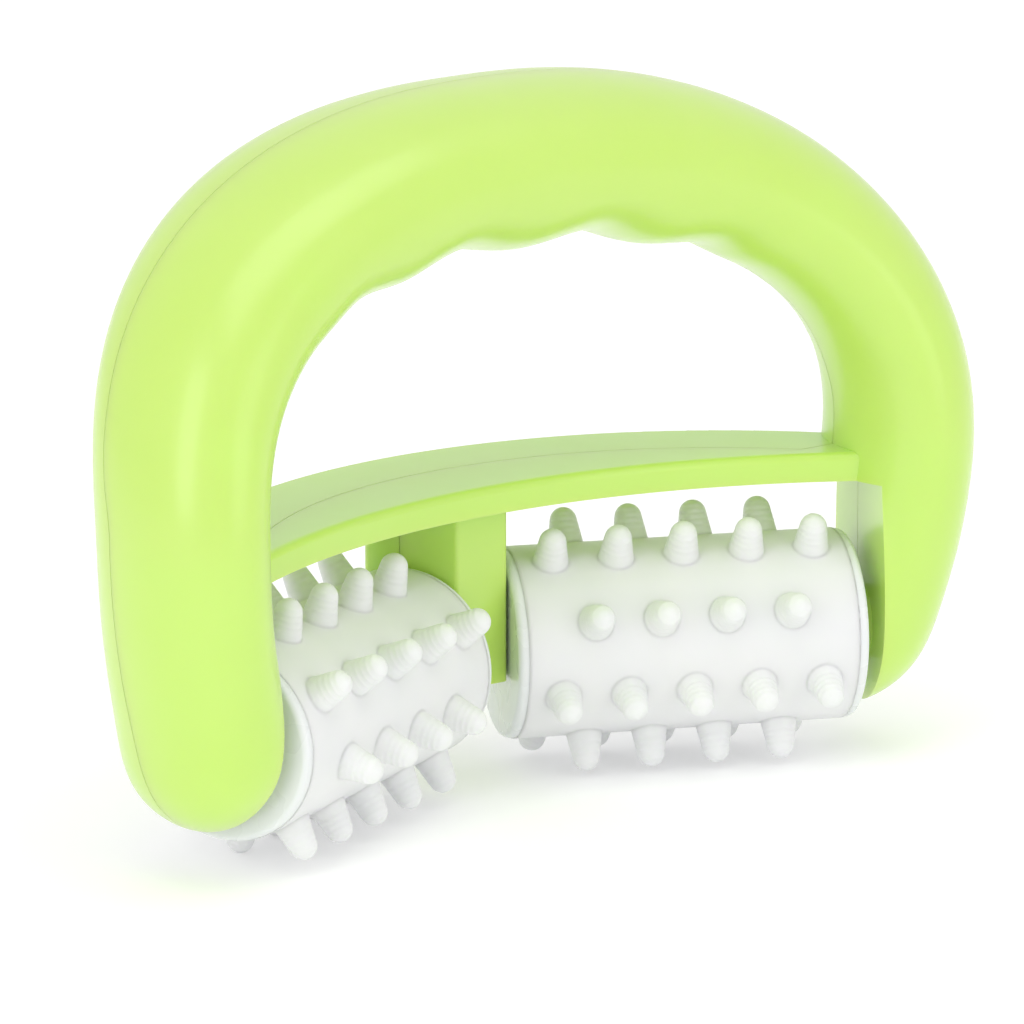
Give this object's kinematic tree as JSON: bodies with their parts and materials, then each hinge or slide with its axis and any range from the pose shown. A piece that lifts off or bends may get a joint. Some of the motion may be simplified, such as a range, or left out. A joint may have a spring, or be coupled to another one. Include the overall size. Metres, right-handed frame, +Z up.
{
  "type": "massage roller",
  "caption": "Hand-held massage roller: a leaning D-shaped plastic grip carrying spiked soft rollers set in a V under a curved bridge.",
  "frame": {"origin": "centre of the bounding box, on the ground under the lowest spike tips", "axes": "+Z up towards the crown of the grip, +X across the grip (the long way), +Y from the open front of the V to its back"},
  "size_m": [0.1392, 0.0492, 0.0995],
  "materials": {
    "shell_plastic": "glossy lime green moulding",
    "sleeve_plastic": "soft milky white, satin",
    "cap_plastic": "smooth bluish white",
    "core_plastic": "plain white moulding",
    "nylon": "natural nylon",
    "axle_steel": "ground steel",
    "screw_steel": "zinc plated"
  },
  "bodies": {
    "handle": {"handle_front_shell": "shell_plastic", "handle_rear_shell": "shell_plastic", "grip_screws": "screw_steel", "bracket_screw": "screw_steel", "left_axle": "axle_steel", "left_thrust_washer": "nylon", "left_spacer": "nylon", "right_axle": "axle_steel", "right_thrust_washer": "nylon", "right_spacer": "nylon"},
    "left_roller": {"left_roller_sleeve": "sleeve_plastic", "left_roller_core": "core_plastic", "left_inner_end_cap": "cap_plastic", "left_inner_bush": "nylon", "left_outer_end_cap": "cap_plastic", "left_outer_bush": "nylon"},
    "right_roller": {"right_roller_sleeve": "sleeve_plastic", "right_roller_core": "core_plastic", "right_inner_end_cap": "cap_plastic", "right_inner_bush": "nylon", "right_outer_end_cap": "cap_plastic", "right_outer_bush": "nylon"}
  },
  "joints": [
    {"name": "left_roller_spin", "type": "hinge", "parent": "handle", "child": "left_roller", "pos_m": [-0.03034, 0.00105, 0.01804], "axis": [-0.9164, -0.4003, 0], "continuous": true},
    {"name": "right_roller_spin", "type": "hinge", "parent": "handle", "child": "right_roller", "pos_m": [0.03034, 0.00105, 0.01804], "axis": [0.9164, -0.4003, 0], "continuous": true}
  ]
}
